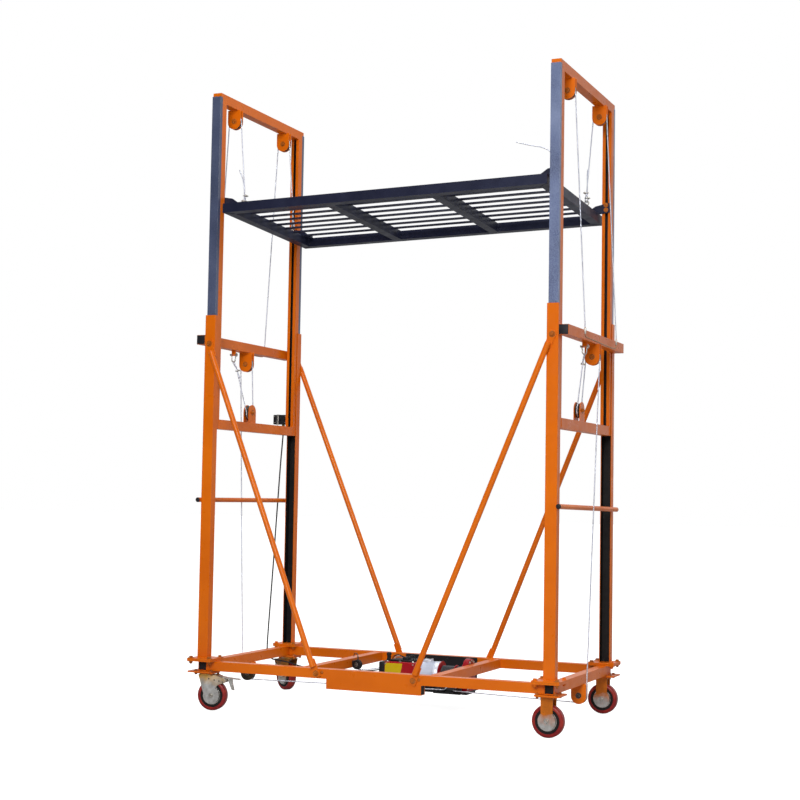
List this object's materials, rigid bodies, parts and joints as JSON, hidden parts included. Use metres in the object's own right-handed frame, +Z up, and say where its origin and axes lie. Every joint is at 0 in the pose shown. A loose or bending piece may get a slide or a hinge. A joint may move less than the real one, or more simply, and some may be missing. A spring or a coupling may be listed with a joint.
{
  "type": "work platform bench",
  "caption": "Wheeled telescopic scaffold: two end frames with rope-lifted masts carry a long slatted work platform above a base winch.",
  "frame": {"origin": "on the floor at the middle of the footprint", "axes": "+X to the right along the platform, +Y to the back, +Z up"},
  "size_m": [2.1256, 1.1095, 3.278],
  "materials": {
    "orange": "gloss powder coat",
    "navy": "satin paint, dark blue-grey",
    "zinc": "yellow zinc plate",
    "tyre": "red polyurethane",
    "dark_pulley": "dark, greased",
    "wire_rope": "galvanised strands",
    "black_steel": "satin black",
    "red_box": "gloss red",
    "silver_motor": "cast, painted silver",
    "black_plastic": "matte black",
    "cable_jacket": "matte black"
  },
  "bodies": {
    "root": {"post_front_left": "orange", "brace_front_left": "orange", "post_front_right": "orange", "brace_front_right": "orange", "fork_front_right": "zinc", "post_back_left": "orange", "brace_back_left": "orange", "post_back_right": "orange", "brace_back_right": "orange", "fork_back_right": "zinc", "rail_front": "orange", "rail_back": "orange", "end_rail_left": "orange", "end_rail_right": "orange", "cross_member_left": "orange", "cross_member_right": "orange", "deep_beam": "orange", "upper_bar_left": "orange", "handle_left": "orange", "rope_winch_left": "wire_rope", "upper_bar_right": "orange", "handle_right": "orange", "rope_winch_right": "wire_rope", "winch_cradle": "black_steel", "winch_box": "red_box", "winch_motor": "silver_motor", "winch_gearbox": "red_box", "switch_box": "black_plastic", "control_cable": "cable_jacket"},
    "mast": {"mast_tube_front_left": "navy", "rope_platform_front_left": "wire_rope", "mast_tube_front_right": "navy", "rope_platform_front_right": "wire_rope", "mast_tube_back_left": "navy", "rope_platform_back_left": "wire_rope", "mast_tube_back_right": "navy", "rope_platform_back_right": "wire_rope", "mast_frame_left": "orange", "mast_frame_right": "orange"},
    "platform": {"platform": "navy"},
    "wheel_front_left": {"wheel_front_left": "tyre"},
    "pulley_top_front_left": {"pulley_top_front_left": "dark_pulley"},
    "wheel_front_right": {"wheel_front_right": "tyre"},
    "pulley_top_front_right": {"pulley_top_front_right": "dark_pulley"},
    "swivel_front_left": {"fork_front_left": "zinc"},
    "brake_front_left": {"brake_pedal_front_left": "zinc"},
    "wheel_back_left": {"wheel_back_left": "tyre"},
    "pulley_top_back_left": {"pulley_top_back_left": "dark_pulley"},
    "wheel_back_right": {"wheel_back_right": "tyre"},
    "pulley_top_back_right": {"pulley_top_back_right": "dark_pulley"},
    "swivel_back_left": {"fork_back_left": "zinc"},
    "brake_back_left": {"brake_pedal_back_left": "zinc"},
    "pulley_fixed_left": {"pulley_fixed_left": "dark_pulley"},
    "pulley_moving_left": {"pulley_moving_left": "dark_pulley"},
    "pulley_base_left": {"pulley_base_left": "dark_pulley"},
    "pulley_fixed_right": {"pulley_fixed_right": "dark_pulley"},
    "pulley_moving_right": {"pulley_moving_right": "dark_pulley"},
    "pulley_base_right": {"pulley_base_right": "dark_pulley"},
    "drum": {"winch_drum": "red_box"}
  },
  "joints": [
    {"name": "mast_lift", "type": "slide", "parent": "root", "child": "mast", "axis": [0, 0, 1], "range_m": [-1.1, 0.15], "deforming": ["rope_winch_left", "rope_winch_right"]},
    {"name": "platform_lift", "type": "slide", "parent": "mast", "child": "platform", "axis": [0, 0, 1], "range_m": [-1.11, 0.16], "deforming": ["rope_platform_front_left", "rope_platform_front_right", "rope_platform_back_left", "rope_platform_back_right"]},
    {"name": "pulley_top_front_left_spin", "type": "hinge", "parent": "mast", "child": "pulley_top_front_left", "pos_m": [-0.95, -0.285, 3.167], "axis": [0, 1, 0], "range_deg": [-280, 1770]},
    {"name": "pulley_top_back_left_spin", "type": "hinge", "parent": "mast", "child": "pulley_top_back_left", "pos_m": [-0.95, 0.285, 3.167], "axis": [0, 1, 0], "range_deg": [-280, 1770]},
    {"name": "pulley_moving_left_spin", "type": "hinge", "parent": "mast", "child": "pulley_moving_left", "pos_m": [-0.95, -0.05, 1.583], "axis": [1, 0, 0], "range_deg": [-1770, 280]},
    {"name": "pulley_fixed_left_spin", "type": "hinge", "parent": "root", "child": "pulley_fixed_left", "pos_m": [-1.005, 0, 1.858], "axis": [0, 1, 0], "range_deg": [-520, 3500]},
    {"name": "pulley_base_left_spin", "type": "hinge", "parent": "root", "child": "pulley_base_left", "pos_m": [-0.95, 0, 0.148], "axis": [0, 1, 0], "range_deg": [-520, 3500]},
    {"name": "pulley_top_front_right_spin", "type": "hinge", "parent": "mast", "child": "pulley_top_front_right", "pos_m": [0.95, -0.285, 3.167], "axis": [0, 1, 0], "range_deg": [-1770, 280]},
    {"name": "pulley_top_back_right_spin", "type": "hinge", "parent": "mast", "child": "pulley_top_back_right", "pos_m": [0.95, 0.285, 3.167], "axis": [0, 1, 0], "range_deg": [-1770, 280]},
    {"name": "pulley_moving_right_spin", "type": "hinge", "parent": "mast", "child": "pulley_moving_right", "pos_m": [0.95, -0.05, 1.583], "axis": [1, 0, 0], "range_deg": [-1770, 280]},
    {"name": "pulley_fixed_right_spin", "type": "hinge", "parent": "root", "child": "pulley_fixed_right", "pos_m": [1.005, 0, 1.858], "axis": [0, 1, 0], "range_deg": [-3500, 520]},
    {"name": "pulley_base_right_spin", "type": "hinge", "parent": "root", "child": "pulley_base_right", "pos_m": [0.95, 0, 0.148], "axis": [0, 1, 0], "range_deg": [-3500, 520]},
    {"name": "drum_spin", "type": "hinge", "parent": "root", "child": "drum", "pos_m": [0.218, 0.13, 0.195], "axis": [1, 0, 0], "range_deg": [-3080, 460]},
    {"name": "wheel_front_right_roll", "type": "hinge", "parent": "root", "child": "wheel_front_right", "pos_m": [0.94, -0.47, 0.079], "axis": [0, 1, 0], "continuous": true},
    {"name": "caster_front_swivel", "type": "hinge", "parent": "root", "child": "swivel_front_left", "pos_m": [-0.936, -0.47, 0.17], "axis": [0, 0, 1], "continuous": true},
    {"name": "wheel_front_left_roll", "type": "hinge", "parent": "swivel_front_left", "child": "wheel_front_left", "pos_m": [-0.90153, -0.46392, 0.079], "axis": [-0.1736, 0.9848, 0], "continuous": true},
    {"name": "brake_front_press", "type": "hinge", "parent": "swivel_front_left", "child": "brake_front_left", "pos_m": [-0.83752, -0.45264, 0.158], "axis": [-0.1736, 0.9848, 0], "range_deg": [0, 10]},
    {"name": "wheel_back_right_roll", "type": "hinge", "parent": "root", "child": "wheel_back_right", "pos_m": [0.94, 0.47, 0.079], "axis": [0, 1, 0], "continuous": true},
    {"name": "caster_back_swivel", "type": "hinge", "parent": "root", "child": "swivel_back_left", "pos_m": [-0.936, 0.47, 0.17], "axis": [0, 0, 1], "continuous": true},
    {"name": "wheel_back_left_roll", "type": "hinge", "parent": "swivel_back_left", "child": "wheel_back_left", "pos_m": [-0.96631, 0.4875, 0.079], "axis": [-0.5, -0.866, 0], "continuous": true},
    {"name": "brake_back_press", "type": "hinge", "parent": "swivel_back_left", "child": "brake_back_left", "pos_m": [-1.0226, 0.52, 0.158], "axis": [-0.5, -0.866, 0], "range_deg": [0, 10]}
  ],
  "couplings": [
    {"joint": "platform_lift", "follows": "mast_lift", "ratio": 1},
    {"joint": "pulley_top_front_left_spin", "follows": "mast_lift", "rad_per_m": -27.397},
    {"joint": "pulley_top_back_left_spin", "follows": "mast_lift", "rad_per_m": -27.397},
    {"joint": "pulley_moving_left_spin", "follows": "mast_lift", "rad_per_m": 27.397},
    {"joint": "pulley_fixed_left_spin", "follows": "mast_lift", "rad_per_m": -54.794},
    {"joint": "pulley_base_left_spin", "follows": "mast_lift", "rad_per_m": -54.794},
    {"joint": "pulley_top_front_right_spin", "follows": "mast_lift", "rad_per_m": 27.397},
    {"joint": "pulley_top_back_right_spin", "follows": "mast_lift", "rad_per_m": 27.397},
    {"joint": "pulley_moving_right_spin", "follows": "mast_lift", "rad_per_m": 27.397},
    {"joint": "pulley_fixed_right_spin", "follows": "mast_lift", "rad_per_m": 54.794},
    {"joint": "pulley_base_right_spin", "follows": "mast_lift", "rad_per_m": 54.794},
    {"joint": "drum_spin", "follows": "mast_lift", "rad_per_m": 48.193}
  ]
}
